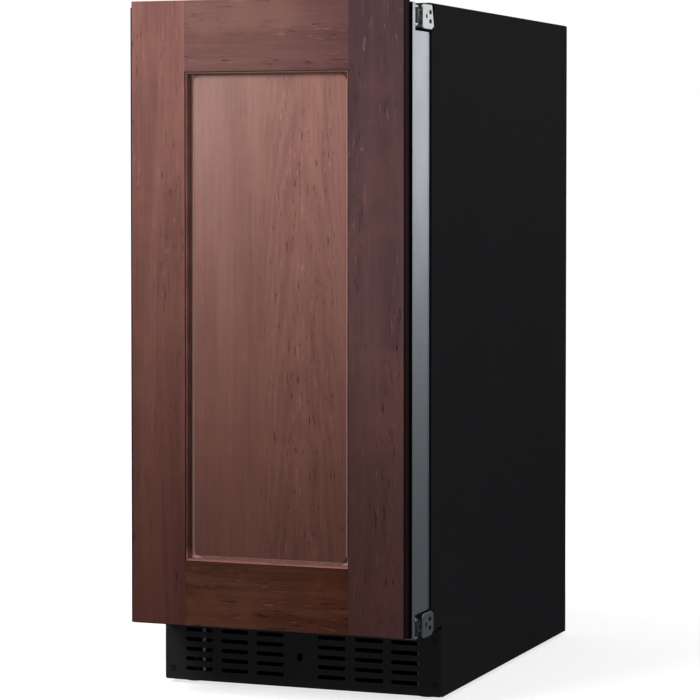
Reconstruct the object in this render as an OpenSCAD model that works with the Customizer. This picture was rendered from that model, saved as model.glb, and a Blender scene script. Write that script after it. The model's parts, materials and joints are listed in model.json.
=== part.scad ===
// Panel-ready undercounter ice maker, 15-inch class.
// X runs to the right as seen from the front, the front faces -Y, Z is up.
// The origin is on the floor, under the middle of the whole machine.
// Modules measure y from the front face of the wooden panel; from_front() puts them in place.

/* [Cabinet] */
// Width of the cabinet
cab_w = 378; // [374:1:384]
// Height of the cabinet's top above the floor
cab_h = 868; // [866:1:880]
// Depth from the wooden panel's front face to the rear panel
total_d = 676; // [674:1:690]
// Gap under the cabinet's sides
floor_gap = 5; // [4:1:8]
// Thickness of the steel sheet
sheet = 1.2; // [0.8:0.1:1.6]

/* [Door] */
// Thickness of the wooden door panel
wood_t = 19; // [18:1:20]
// Air gap between the wooden panel and the door
wood_gap = 4; // [3:1:5]
// Thickness of the insulated door
door_t = 57; // [56:1:60]
// Height of the insulated door's lower edge above the floor
door_z = 95.5; // [95.5:0.5:98]
// Height of the insulated door's upper edge above the floor
door_top = 865.5; // [865:0.5:868]
// Height of the wooden panel's lower edge above the floor
wood_z = 98.5; // [98:0.5:100]
// Left edge of the wooden panel
wood_left = -174; // [-180:0.5:-170]
// Right edge of the wooden panel
wood_right = 186.5; // [184:0.5:187]
// Height of the wooden panel's upper edge above the floor
wood_top = 872; // [866:1:874]
// Width of a stile of the wooden panel
stile_w = 72; // [60:1:80]
// Height of the top rail
rail_top_h = 88; // [70:1:95]
// Height of the bottom rail
rail_low_h = 80; // [70:1:95]

/* [Freezer] */
// Half the width of the freezer space
room_x = 141; // [138:1:142]
// Floor of the freezer space
room_z0 = 146; // [144:1:150]
// Ceiling of the freezer space
room_z1 = 812; // [806:1:814]
// Back of the freezer space
room_back = 600; // [596:1:604]
// Thickness of the plastic liner
liner_t = 1.5; // [1.2:0.1:2]

/* [Toe grille] */
// Distance of the grille behind the panel's front
toe_y = 131.4; // [130:0.2:134]
// Upper edge of the grille
toe_top = 91; // [90:1:92]
// Height of one air slot
slot_h = 5; // [4:0.5:6]
// Distance between two rows of slots
slot_pitch = 12.6; // [12:0.1:12.8]

/* [Hinges] */
// Pivot of the hinge arm on the cabinet, right of the middle
pin_cab_x = 156; // [155.5:0.5:157]
// Pivot of the hinge arm on the cabinet, behind the panel's front
pin_cab_y = 84; // [83:0.5:84]
// Pivot of the door on the hinge arm, right of the middle
pin_door_x = 182; // [181:0.5:182]
// Pivot of the door on the hinge arm, behind the panel's front
pin_door_y = 41; // [40:0.5:42]
// Radius of the hinge pins
pin_r = 3; // [2.8:0.1:3.2]

/* [Ice mould] */
// Number of ice crescents
cells = 7; // [6:1:7]
// Length of one crescent with its divider
cell_pitch = 31; // [30:0.5:31]
// Radius of the crescents
cell_r = 33; // [32:0.5:34]
// Middle of the ejector shaft, sideways
shaft_x = -20; // [-24:1:-16]
// Middle of the ejector shaft, above the floor
shaft_z = 742; // [740:1:744]
// Radius of the ejector shaft
shaft_r = 4; // [3.5:0.5:4.5]

/* [Hidden] */
$fn = 48;

half_w = cab_w / 2;
inside_w = half_w - sheet;
door_y = wood_t + wood_gap;
door_back = door_y + door_t;
cab_y = 92;
door_left = -184;
toe_notch_y = toe_y + 2.2;
toe_notch_z = 95;
fit = 0.05;
bend_extra = 0.15;

// Insulated box and machine bay
box_y = 104;
box_z = 96;
bay_y = 386;
bay_z = 300;
foam_back = 660;
step_y = 350;
step_z = 342;
pan_z = 12;
pan_t = 1.6;

// Foot places and stud
foot_x = 160;
foot_front_y = 165;
foot_rear_y = 640;
stud_r = 4;

// Hinges: height of each hinge's middle, and the notch that it needs in the door
hinge_z = [105, 850];
notch_x = 148.5;
notch_y = 29.6;
notch_low = 123.4;
notch_high = 831.4;
plate_t = 2;
plate_half = 15;
plate_y0 = 57.6;
plate_y1 = 99.5;
plate_edge = [
    [plate_y0, plate_half - 3], [plate_y0 + 6, plate_half], [plate_y1 - 9, plate_half], [plate_y1, plate_half - 4]
];
hinge_screw_x = 178;

// Wooden panel's opening
field_x0 = wood_left + stile_w;
field_x1 = wood_right - stile_w;
field_z0 = wood_z + rail_low_h;
field_z1 = wood_top - rail_top_h;
tongue = 7;
panel_front = 13.5;
panel_back = 17;
field_front = 10.5;
groove_w = 5;
fastener_x = 150;
fastener_z = [160, 483, 800];

// Ice mould
mould_y0 = 205;
mould_len = cells * cell_pitch + 3;
mould_y1 = mould_y0 + mould_len;
tooth_module = 1.5;
gear_teeth = 28;
pinion_teeth = 10;
gear_reach = tooth_module * (gear_teeth + pinion_teeth) / 2 + 0.3;
pinion_z = shaft_z - gear_reach;

// Rocker switch: its pivot behind the panel's front
rocker_y = 119;

// Fans
fan_x = -95;
fan_z = 112;
fan_r = 62;
frost_fan_z = 612;
frost_fan_r = 44;

module from_front() translate([0, -total_d / 2, 0]) children();

module box(x0, x1, y0, y1, z0, z1)
    translate([x0, y0, z0]) cube([x1 - x0, y1 - y0, z1 - z0]);

module rod_x(x0, x1, y, z, r) translate([x0, y, z]) rotate([0, 90, 0]) cylinder(h = x1 - x0, r = r);
module rod_y(x, y0, y1, z, r) translate([x, y0, z]) rotate([-90, 0, 0]) cylinder(h = y1 - y0, r = r);
module rod_z(x, y, z0, z1, r) translate([x, y, z0]) cylinder(h = z1 - z0, r = r);

// A shape drawn in (y, z) and carried across x
module across(x0, x1)
    translate([x0, 0, 0]) rotate([90, 0, 90]) linear_extrude(height = x1 - x0) children();

// A shape drawn in (x, z) and carried back along y
module back_along(y0, y1)
    translate([0, y1, 0]) rotate([90, 0, 0]) linear_extrude(height = y1 - y0) children();

// A rectangle with rounded corners, as an outline of points
module rounded(x0, x1, z0, z1, r, steps = 6)
    polygon([
        for (c = [[x1 - r, z1 - r, 0], [x0 + r, z1 - r, 90], [x0 + r, z0 + r, 180], [x1 - r, z0 + r, 270]])
            for (i = [0 : steps])
                [c[0] + r * cos(c[2] + 90 * i / steps), c[1] + r * sin(c[2] + 90 * i / steps)]
    ]);

// A round pipe along a list of points, with a ball at each bend
module pipe(points, r)
    for (i = [0 : len(points) - 2]) {
        a = points[i];
        b = points[i + 1];
        d = b - a;
        run = norm(d);
        translate(a) rotate([0, acos(d[2] / run), atan2(d[1], d[0])]) cylinder(h = run, r = r);
        if (i > 0) translate(a) sphere(r = r + bend_extra);
    }

// ---------------------------------------------------------------- cabinet

module outer_shell()
    color("#1c1c1d") from_front() difference() {
        box(-half_w, half_w, cab_y, total_d, floor_gap, cab_h);
        box(-inside_w, inside_w, cab_y - 1, total_d + 1, floor_gap - 1, cab_h - sheet);
        box(-half_w - 1, half_w + 1, cab_y - 1, toe_notch_y, floor_gap - 1, toe_notch_z);
        for (i = [0, 1])
            box(inside_w - 2, half_w + 1, cab_y - 1, plate_y1, hinge_z[i] - plate_half, hinge_z[i] + plate_half);
        for (x = [-120, 120]) rod_z(x, 98, cab_h - 5, cab_h + 1, 2.25);
    }

module rear_panel()
    color("#8d9093") from_front() difference() {
        box(-inside_w + 0.2, inside_w - 0.2, total_d - sheet, total_d, 15, cab_h - sheet - 0.2);
        for (x = [-150, -45, 60], z = [180 : 12 : 276]) box(x, x + 90, total_d - 3, total_d + 1, z, z + 5);
        rod_y(-120, total_d - 3, total_d + 1, 90, 13.2);
        box(119.8, 150.2, total_d - 3, total_d + 1, 49.8, 74.2);
    }

module base_pan()
    color("#5c5f62") from_front() difference() {
        union() {
            box(-inside_w + 0.2, inside_w - 0.2, toe_notch_y, total_d - 1.4, pan_z, pan_z + pan_t);
            for (s = [-1, 1])
                box(min(s * 187.4, s * 185.8), max(s * 187.4, s * 185.8), toe_notch_y + 12, total_d - 2, pan_z, 40);
            for (x = [-foot_x, foot_x], y = [foot_front_y, foot_rear_y]) rod_z(x, y, 6, 26, 9);
        }
        for (x = [-foot_x, foot_x], y = [foot_front_y, foot_rear_y]) rod_z(x, y, 0, 30, stud_r + fit);
    }

module machine_bay_panel()
    color("#8d9093") from_front() across(-inside_w + 0.4, inside_w - 0.4)
        polygon([
            [toe_notch_y, box_z - 1.2], [bay_y + 1.2, box_z - 1.2], [bay_y + 1.2, bay_z - 1.2],
            [foam_back, bay_z - 1.2], [foam_back, bay_z], [bay_y, bay_z], [bay_y, box_z], [toe_notch_y, box_z]
        ]);

module room_outline(t)
    polygon([
        [cab_y - 1, room_z0 - t], [step_y + t, room_z0 - t], [step_y + t, step_z - t],
        [room_back + t, step_z - t], [room_back + t, room_z1 + t], [cab_y - 1, room_z1 + t]
    ]);

module foam_insulation()
    color("#e8d9a0") from_front() difference() {
        across(-inside_w + 0.1, inside_w - 0.1)
            polygon([
                [box_y, box_z], [bay_y, box_z], [bay_y, bay_z], [foam_back, bay_z],
                [foam_back, cab_h - sheet - 0.1], [box_y, cab_h - sheet - 0.1]
            ]);
        across(-room_x - liner_t, room_x + liner_t) room_outline(liner_t);
        rod_y(shaft_x, room_back - 5, foam_back + 5, 765, 5.3);
        rod_y(110, room_back - 5, foam_back + 5, 450, 3.3);
    }

module inner_liner()
    color("#e9eaea") from_front() difference() {
        union() {
            intersection() {
                across(-room_x - liner_t, room_x + liner_t) room_outline(liner_t);
                box(-room_x - 5, room_x + 5, cab_y, room_back + 5, room_z0 - 5, room_z1 + 5);
            }
            box(-152, 152, cab_y, cab_y + liner_t, 134, 824);
        }
        across(-room_x, room_x) room_outline(0);
        rod_y(shaft_x, room_back - 5, room_back + 5, 765, 5.3);
        rod_y(110, room_back - 5, room_back + 5, 450, 3.3);
    }

module front_frame()
    color("#141415") from_front() difference() {
        box(-187, 187, cab_y, box_y, box_z + 0.2, cab_h - sheet - 0.1);
        box(-152.1, 152.1, cab_y - 1, cab_y + liner_t, 133.9, 824.1);
        box(-room_x - liner_t, room_x + liner_t, cab_y - 1, box_y + 1, room_z0 - liner_t, room_z1 + liner_t);
        for (x = [-120, 120]) rod_z(x, 98, cab_h - 14, cab_h + 1, 2.25);
    }

module grille_slot(x0, x1, z) back_along(toe_y - 2, toe_y + 4)
    rounded(x0, x1, z - slot_h / 2, z + slot_h / 2, slot_h / 2 - 0.05, 4);

module toe_grille()
    color("#161617") from_front() difference() {
        union() {
            back_along(toe_y, toe_y + 1.6) rounded(-half_w, half_w, floor_gap, toe_top, 3);
            box(-184, 184, toe_y, toe_y + 14, toe_top - 1.6, toe_top);
            for (s = [-1, 1])
                box(min(s * 184, s * 182.4), max(s * 184, s * 182.4), toe_y, toe_y + 12, 18, toe_top);
        }
        for (c = [-160, -110.5, -61.5, 22.5, 73, 121.5], r = [0 : 5])
            grille_slot(c, c + 37.5, 20.3 + r * slot_pitch);
        back_along(toe_y - 2, toe_y + 4) rounded(-5.5, 1.5, 38.7, 49.2, 3.4, 5);
        for (x = [-178.5, 179.5], z = [20.5, 75.5]) rod_y(x, toe_y - 1, toe_y + 3, z, 2.1);
    }

// Cross-slotted screws of the grille, and the pan-head screws of the two hinge plates
module cabinet_screws()
    color("#2a2a2c") from_front() {
        for (x = [-178.5, 179.5], z = [20.5, 75.5]) difference() {
            union() {
                rod_y(x, toe_y - 1.6, toe_y, z, 4);
                rod_y(x, toe_y - 1, toe_y + 10, z, 2);
            }
            for (a = [0, 90])
                translate([x, toe_y - 2.2, z]) rotate([0, a, 0]) translate([-2.4, 0, -0.4]) cube([4.8, 1.4, 0.8]);
        }
        for (i = [0, 1], z = [hinge_z[i] - 6, hinge_z[i] + 6]) {
            rod_y(hinge_screw_x, cab_y - 3.4, cab_y - 1.8, z, 3.8);
            rod_y(hinge_screw_x, cab_y - 2, cab_y, z, 2.2);
        }
    }

// ---------------------------------------------------------------- hinges

module hinge_plates()
    color("#8b8e91") from_front()
        for (i = [0, 1]) difference() {
            union() {
                across(half_w - plate_t, half_w) translate([0, hinge_z[i]])
                    polygon(concat(plate_edge, [for (i = [3 : -1 : 0]) [plate_edge[i][0], -plate_edge[i][1]]]));
                box(notch_x + 1, half_w, cab_y - 1.8, cab_y, hinge_z[i] - 12, hinge_z[i] + 10);
                for (z = [hinge_z[i] - 6.5, hinge_z[i] + 4]) {
                    rod_z(pin_cab_x, pin_cab_y, z, z + 2.5, 5.5);
                    box(pin_cab_x - 5.5, pin_cab_x + 8, pin_cab_y, cab_y - 1, z, z + 2.5);
                }
                rod_z(pin_cab_x, pin_cab_y, hinge_z[i] - 7.5, hinge_z[i] + 7.5, pin_r);
                rod_z(pin_cab_x, pin_cab_y, hinge_z[i] + 6.5, hinge_z[i] + 8, 4.5);
                rod_z(pin_cab_x, pin_cab_y, hinge_z[i] - 8, hinge_z[i] - 6.5, 4.5);
            }
            for (z = [hinge_z[i] - 5.3, hinge_z[i] + 5.9]) rod_x(half_w - 4, half_w + 1, 86, z, 2.2);
            box(half_w - 4, half_w + 1, 70.8, 73.8, hinge_z[i] - 1.8, hinge_z[i] + 2.8);
            for (z = [hinge_z[i] - 6, hinge_z[i] + 6]) rod_y(hinge_screw_x, cab_y - 3, cab_y + 1, z, 2.3);
        }

// The arm between cabinet and door: a flat bar with an eye on the cabinet pin and a barrel on the door pin
module hinge_arms()
    color("#9a9da0") from_front()
        for (i = [0, 1]) {
            reach = [pin_door_x - pin_cab_x, pin_door_y - pin_cab_y];
            span = norm(reach);
            translate([pin_cab_x, pin_cab_y, hinge_z[i]]) rotate([0, 0, atan2(reach[1], reach[0])])
                difference() {
                    union() {
                        cylinder(h = 7, r = 5.5, center = true);
                        translate([0, -4.5, -3.5]) cube([span, 9, 7]);
                        translate([span, 0, 0]) cylinder(h = 18, r = 6.7, center = true);
                    }
                    cylinder(h = 30, r = pin_r + fit, center = true);
                    translate([span, 0, 0]) cylinder(h = 30, r = pin_r + fit, center = true);
                }
        }

module hinge_brackets()
    color("#a7aaad") from_front()
        for (i = [0, 1]) {
            difference() {
                union() {
                    box(notch_x + 2, 186, notch_y, notch_y + 2.2, hinge_z[i] - 12, hinge_z[i] + 12);
                    for (z = [hinge_z[i] - 12, hinge_z[i] + 9.5]) {
                        rod_z(pin_door_x, pin_door_y, z, z + 2.5, 6.5);
                        box(pin_door_x - 6.5, pin_door_x + 6.5, notch_y, pin_door_y, z, z + 2.5);
                    }
                    rod_z(pin_door_x, pin_door_y, hinge_z[i] - 12, hinge_z[i] + 12, pin_r);
                    for (z = [hinge_z[i] - 13.2, hinge_z[i] + 12]) rod_z(pin_door_x, pin_door_y, z, z + 1.2, 4.6);
                }
                for (z = [hinge_z[i] - 6, hinge_z[i] + 6]) rod_y(158, notch_y - 1, notch_y + 3, z, 2.3);
            }
            for (z = [hinge_z[i] - 6, hinge_z[i] + 6]) {
                rod_y(158, notch_y + 2.2, notch_y + 3.6, z, 3.6);
                rod_y(158, notch_y, notch_y + 3, z, 2.3);
            }
        }

// ---------------------------------------------------------------- machine bay

module compressor()
    color("#101011") from_front() {
        translate([75, 560, 0]) rotate_extrude($fn = 96)
            polygon(concat(
                [[0, 32], [54, 32], [62, 40], [62, 104], [64.5, 104], [64.5, 108], [62, 108], [62, 140]],
                [for (a = [10 : 10 : 90]) [20 + 42 * cos(a), 140 + 42 * sin(a)]],
                [[0, 182]]
            ));
        difference() {
            box(2, 148, 492, 628, 29, 32);
            for (x = [14, 136], y = [504, 616]) rod_z(x, y, 20, 40, 6.1);
        }
    }

module compressor_mounts()
    color("#1f1f20") from_front()
        for (x = [14, 136], y = [504, 616]) {
            rod_z(x, y, pan_z + pan_t, 28.8, 11);
            rod_z(x, y, 28, 34, 6);
            rod_z(x, y, 32.1, 36, 9);
        }

module compressor_terminal_box()
    color("#26272a") from_front() {
        box(138, 164, 536, 584, 72, 102);
        box(139.8, 150, 540, 580, 50, 72);
    }

module finned_coil(x0, x1, y0, y1, z0, z1, fin_pitch, rows) {
    for (x = [x0 + 6 : fin_pitch : x1 - 6]) box(x, x + 0.6, y0, y1, z0, z1);
    for (k = [0 : rows - 1]) {
        z = z0 + (k + 0.5) * (z1 - z0) / rows;
        rod_x(x0, x1, (y0 + y1) / 2, z, 3.5);
        if (k < rows - 1) {
            x = k % 2 == 0 ? x1 : x0;
            rod_z(x, (y0 + y1) / 2, z, z + (z1 - z0) / rows, 3.5);
            translate([x, (y0 + y1) / 2, z]) sphere(r = 3.5);
            translate([x, (y0 + y1) / 2, z + (z1 - z0) / rows]) sphere(r = 3.5);
        }
    }
    for (x = [x0 + 2, x1 - 3.2]) box(x, x + 1.2, y0 - 1, y1 + 1, z0 - 4, z1 + 4);
}

module condenser_coil() color("#b87333") from_front() finned_coil(-172, -18, 400, 430, 28, 196, 6, 7);

module condenser_fan_shroud()
    color("#2b2c2e") from_front() difference() {
        union() {
            box(-172, -18, 431.5, 434, 24, 200);
            rod_y(fan_x, 434, 468, fan_z, fan_r + 6);
            box(-172, -18, 431.5, 468, 17.6, 24);
        }
        rod_y(fan_x, 430, 470, fan_z, fan_r + 3);
        for (z = [30, 194]) rod_y(-166, 430, 436, z, 2);
    }

module condenser_fan_motor()
    color("#3a3b3d") from_front() {
        rod_y(fan_x, 474, 510, fan_z, 24);
        rod_y(fan_x, 446, 474, fan_z, 2.5);
        for (a = [45, 135, 225, 315])
            translate([fan_x, 0, fan_z]) rotate([0, a, 0]) {
                box(20, fan_r + 5, 478, 481, -4, 4);
                box(fan_r + 3.2, fan_r + 5.6, 468, 481, -4, 4);
            }
    }

module fan_rotor(x, y, z, r, hub_r, depth, bore_r, blades, pitch)
    translate([x, y, z]) difference() {
        union() {
            rotate([-90, 0, 0]) cylinder(h = depth, r = hub_r);
            for (k = [0 : blades - 1])
                rotate([0, k * 360 / blades, 0]) intersection() {
                    translate([hub_r - 3, depth / 2, 0]) rotate([pitch, 0, 0])
                        translate([0, -0.8, -r * 0.3]) cube([r - hub_r + 3, 1.6, r * 0.6]);
                    translate([0, 0.5, 0]) rotate([-90, 0, 0]) cylinder(h = depth - 1, r = r);
                }
        }
        translate([0, -1, 0]) rotate([-90, 0, 0]) cylinder(h = depth + 2, r = bore_r);
    }

module condenser_fan() color("#d9d9d6") from_front()
    fan_rotor(fan_x, 446, fan_z, fan_r - 1, 17, 18, 2.55, 5, 35);

module filter_drier()
    color("#b87333") from_front() {
        rod_z(165, 450, 70, 150, 9);
        rod_z(165, 450, 60, 160, 5);
        rod_z(165, 450, 46, 174, 2.5);
        box(165, 187.4, 446, 454, 100, 104);
    }

module refrigerant_lines()
    color("#b87333") from_front() {
        pipe([[75, 560, 182.2], [75, 560, 225], [-8, 560, 225], [-8, 415, 225], [-8, 415, 40], [-14, 415, 40]], 3);
        pipe([[165, 450, 174.2], [165, 450, 240], [30, 450, 240], [30, 415, 240], [30, 415, 184], [-14, 415, 184]], 2.5);
        pipe([[165, 450, 45.8], [165, 450, 42], [165, 667, 42], [165, 667, 432],
              [110, 667, 432], [110, 667, 444]], 2);
        pipe([[110, 594, 450], [110, 667, 450], [96, 667, 450], [96, 667, 150], [96, 632, 150], [96, 624, 150]], 3);
    }

module drip_tray()
    color("#4a4c4f") from_front() difference() {
        box(-180, -60, 524, 616, pan_z + pan_t, 42);
        box(-178, -62, 526, 614, pan_z + pan_t + 2, 50);
    }

module water_valve()
    color("#ecebe4") from_front() {
        rod_y(-120, 628, 652, 90, 14);
        rod_z(-120, 632, 96, 128, 13);
        box(-138, -102, 618, 646, 128, 156);
        rod_x(-106, -84, 640, 90, 6);
    }

module water_inlet_fitting()
    color("#b08d3c") from_front() difference() {
        union() {
            rod_y(-120, 652, total_d, 90, 13);
            rod_y(-120, 656, 668, 90, 17);
        }
        rod_y(-120, total_d - 14, total_d + 1, 90, 9.5);
        rod_y(-120, total_d - 22, total_d + 1, 90, 5);
    }

module fill_tube()
    color("#f4f4f2") from_front() difference() {
        pipe([[-84, 640, 90], [-70, 640, 90], [-70, 667, 90], [-70, 667, 765], [shaft_x, 667, 765],
              [shaft_x, 452, 765]], 5);
        rod_y(shaft_x, 440, 480, 765, 3.6);
    }

module power_inlet()
    color("#18181a") from_front() {
        difference() {
            box(120, 150, 650, total_d, 50, 74);
            back_along(total_d - 16, total_d + 1)
                polygon([[123, 53], [147, 53], [147, 67], [143, 71], [127, 71], [123, 67]]);
        }
        for (p = [[128, 59], [142, 59], [135, 65]]) box(p[0] - 2, p[0] + 2, total_d - 17, total_d - 4, p[1] - 0.9, p[1] + 0.9);
    }

module control_board_box()
    color("#c9cbcd") from_front() {
        box(-187.2, -150, 470, 640, 205, 290);
        box(-150, -148, 464, 646, 199, 296);
    }

// ---------------------------------------------------------------- freezer

module evaporator_coil() color("#c3c6c9") from_front() finned_coil(-112, 112, 556, 590, 365, 540, 8, 6);

module evaporator_cover()
    color("#eff0f0") from_front() difference() {
        union() {
            box(-138, 138, 546, 548.5, step_z + 0.5, 700);
            box(-138, 138, 546, room_back, 697.5, 700);
            for (s = [-1, 1]) box(min(s * 138, s * 135.5), max(s * 138, s * 135.5), 546, room_back, step_z + 0.5, 700);
        }
        for (a = [0 : 45 : 315]) translate([0, 0, frost_fan_z]) rotate([0, a, 0]) {
            box(14, 40, 540, 552, -5, 5);
        }
        for (x = [-110 : 44 : 66]) box(x, x + 36, 540, 552, 352, 358);
    }

module evaporator_fan_motor()
    color("#2c2d30") from_front() {
        rod_y(0, 572, 590, frost_fan_z, 17);
        rod_y(0, 555, 573, frost_fan_z, 2);
        for (a = [30, 150, 270]) translate([0, 0, frost_fan_z]) rotate([0, a, 0]) box(12, 60, 584, 587, -4, 4);
        for (a = [30, 150, 270]) translate([0, 0, frost_fan_z]) rotate([0, a, 0]) box(54, 60, 587, room_back, -4, 4);
    }

module evaporator_fan() color("#dcdcda") from_front()
    fan_rotor(0, 554.5, frost_fan_z, frost_fan_r, 13, 14, 2.05, 5, 32);

module ice_mould()
    color("#9fa3a7") from_front() difference() {
        union() {
            box(shaft_x - cell_r - 5, shaft_x + cell_r + 5, mould_y0, mould_y1, shaft_z - cell_r - 6, shaft_z);
            box(shaft_x - 14, shaft_x + 14, mould_y1 - 6, mould_y1, shaft_z - 10, shaft_z + 16);
            box(shaft_x + cell_r, shaft_x + 60, mould_y1 - 6, mould_y1, 698, 712);
        }
        for (k = [0 : cells - 1])
            rod_y(shaft_x, mould_y0 + 3 + k * cell_pitch, mould_y0 + (k + 1) * cell_pitch, shaft_z, cell_r);
        box(shaft_x - 20, shaft_x + 20, mould_y0 + 1, mould_y1 - 6, shaft_z - 9, shaft_z + 30);
        rod_y(shaft_x, mould_y0 - 5, mould_y1 + 5, shaft_z, shaft_r + fit);
        rod_y(30, mould_y1 - 10, mould_y1 + 5, 705, 1.65);
    }

module stripper()
    color("#f2f2ef") from_front() {
        box(shaft_x + 29.5, shaft_x + cell_r + 5, mould_y0, mould_y1, shaft_z + 0.2, shaft_z + 3);
        for (k = [0 : cells]) {
            y = mould_y0 + 1.5 + k * cell_pitch;
            if (k > 0 && k < cells) box(shaft_x + 7, shaft_x + 30, y - 6, y + 6, shaft_z + 0.2, shaft_z + 3);
        }
    }

// Narrow straight teeth that mesh with plenty of backlash
module spur(teeth, thick, turn) {
    root = tooth_module * teeth / 2 - 1.4;
    cylinder(h = thick, r = root);
    for (k = [0 : teeth - 1])
        rotate([0, 0, turn + k * 360 / teeth]) translate([0, 0, thick / 2])
            translate([root - 0.5, -0.8, -thick / 2]) cube([2.9, 1.6, thick]);
}

module drive_housing()
    color("#e4e5e3") from_front() difference() {
        box(-68, 38, 142, mould_y0 - 0.2, 692, 792);
        box(-65, 35, 141, mould_y0 - 4, 695, 789);
        rod_y(shaft_x, mould_y0 - 8, mould_y0 + 2, shaft_z, shaft_r + fit);
        rod_y(30, mould_y0 - 8, mould_y0 + 2, 705, 1.65);
    }

module drive_cover()
    color("#f0f0ee") from_front() difference() {
        back_along(138.5, 142) rounded(-68, 38, 692, 792, 6);
        for (z = [702, 782]) rod_y(-60, 137, 143, z, 1.8);
    }

module gear_motor()
    color("#55585b") from_front() {
        rod_y(shaft_x, 152, 178, pinion_z + 0, 17);
        rod_y(shaft_x, 177, 196, pinion_z, 2);
        for (s = [-1, 1]) box(shaft_x + s * 20 - 5, shaft_x + s * 20 + 5, 174, 178, pinion_z - 5, pinion_z + 5);
        for (s = [-1, 1]) rod_y(shaft_x + s * 21.5, 177, mould_y0 - 4, pinion_z, 2.4);
    }

module motor_pinion() color("#e9c46a") from_front()
    translate([shaft_x, 184, pinion_z]) rotate([-90, 0, 0]) difference() {
        spur(pinion_teeth, 8, -90);
        translate([0, 0, -1]) cylinder(h = 10, r = 2.05);
    }

module ejector_shaft()
    color("#f5f5f3") from_front() {
        rod_y(shaft_x, 172, mould_y1 + 2, shaft_z, shaft_r);
        translate([shaft_x, 184, shaft_z]) rotate([-90, 0, 0]) spur(gear_teeth, 8, 90 + 180 / gear_teeth);
        for (k = [0 : cells - 1]) {
            y = mould_y0 + 1.5 + (k + 0.5) * cell_pitch;
            box(shaft_x - 1.6, shaft_x + 1.6, y - 4, y + 4, shaft_z, shaft_z + 28);
        }
    }

module fill_cup()
    color("#f2f2f0") from_front() difference() {
        union() {
            box(-46, 6, mould_y1 + 0.2, 470, 746, 784);
            box(-14, 4, mould_y1 - 5, mould_y1 + 0.4, 758.5, 770);
        }
        box(-43, 3, mould_y1 + 3.2, 467, 749, 790);
        rod_y(shaft_x, 460, 475, 765, 5.2);
    }

module shutoff_arm()
    color("#b9bcbf") from_front()
        pipe([[30, 196, 705], [30, 214, 705], [66, 214, 640], [66, 412, 640], [30, 412, 705], [30, mould_y1 + 3, 705]], 1.6);

module ice_bin()
    color("#f3f5f6") from_front() difference() {
        union() {
            box(-128, 128, 120, 340, room_z0 + 0.5, 520);
            box(-132, 132, 116, 340, 508, 520);
        }
        box(-125, 125, 123, 337, room_z0 + 3.5, 530);
        box(-50, 50, 112, 124, 480, 500);
    }

module ice_scoop()
    color("#dfe3e5") from_front() {
        difference() {
            rod_y(60, 170, 260, 179, 28);
            rod_y(60, 168, 256, 179, 26);
            box(20, 100, 160, 270, 190, 220);
            translate([60, 160, 184]) rotate([-35, 0, 0]) translate([-40, -40, 0]) cube([80, 60, 60]);
        }
        rod_y(60, 259, 318, 172, 7);
    }

module control_housing()
    color("#e6e7e7") from_front() difference() {
        union() {
            difference() {
                box(-139, -30, 114, 137.8, 770, room_z1 - 0.3);
                box(-137, -32, 116, 135.8, 772, 809);
                box(-124, -108, 110, 120, 778, 804);
            }
            for (x = [-127, -107.5]) box(x, x + 2.5, 115, 124, 785, 797);
        }
        rod_x(-128, -104, rocker_y, 791, 2 + fit);
        rod_y(-70, 110, 120, 791, 3 + fit);
    }

module light_lens()
    color("#f7f3dc") from_front() {
        box(50, 125, 130, 175, room_z1 - 12, room_z1 - 0.3);
        box(44, 131, 124, 181, room_z1 - 3, room_z1 - 0.3);
    }

// Drawn in its "on" position, tipped by 8 degrees
module rocker_switch()
    color("#1b1b1d") from_front() translate([-116, rocker_y, 791]) rotate([-8, 0, 0])
        difference() {
            union() {
                translate([-7, -9, -11]) cube([14, 12, 22]);
                rod_x(-9.5, 9.5, 0, 0, 2);
            }
            rod_x(-8, 8, -28, 0, 20);
        }

module temperature_knob()
    color("#2a2b2d") from_front() {
        rod_y(-70, 111, 130, 791, 3);
        difference() {
            rod_y(-70, 100, 113, 791, 13);
            box(-71, -69, 99, 101, 796, 806);
        }
    }

// ---------------------------------------------------------------- door

// The door's block, shrunk by t all round, with a notch for each hinge
module door_block(t)
    difference() {
        box(door_left + t, half_w - t, door_y + t, door_back + (t > 0 ? 5 : 0), door_z + t, door_top - t);
        box(notch_x - t, half_w + 5, notch_y - t, door_back + 10, notch_high - t, door_top + 5);
        box(notch_x - t, half_w + 5, notch_y - t, door_back + 10, door_z - 5, notch_low + t);
    }

module door_frame()
    color("#a9abae") from_front() difference() {
        door_block(0);
        door_block(sheet);
    }

module door_foam()
    color("#e8d9a0") from_front() intersection() {
        door_block(sheet + 0.1);
        box(-300, 300, 0, door_back - 1.6, 0, 1000);
    }

module door_liner()
    color("#f1f2f2") from_front() {
        intersection() {
            door_block(sheet + 0.1);
            box(-300, 300, door_back - 1.5, door_back, 0, 1000);
        }
        difference() {
            back_along(door_back, cab_y - 0.5) rounded(-136, 136, 151, 807, 14);
            back_along(door_back + 2, 96) rounded(-120, 120, 167, 791, 10);
        }
    }

module door_gasket()
    color("#3a3b3d") from_front() difference() {
        back_along(door_back, cab_y - 0.5) rounded(-160, 147, 128.5, 829.5, 8);
        back_along(door_back - 1, cab_y) rounded(-142, 138, 148, 810, 6);
    }

module stile(x0, x1, inner_side)
    difference() {
        box(x0, x1, 0, wood_t, wood_z, wood_top);
        box(inner_side > 0 ? x1 - tongue - 1 : x0 - 1, inner_side > 0 ? x1 + 1 : x0 + tongue + 1,
            panel_front - 0.1, panel_back + 0.1, field_z0 - 8, field_z1 + 8);
        for (z = fastener_z) rod_y(-inner_side * fastener_x, wood_t - 10.2, wood_t + 1, z, 2.25);
    }

module stile_left() color("#6e4c46") from_front() stile(wood_left, field_x0, 1);
module stile_right() color("#5a4342") from_front() stile(field_x1, wood_right, -1);

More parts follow.
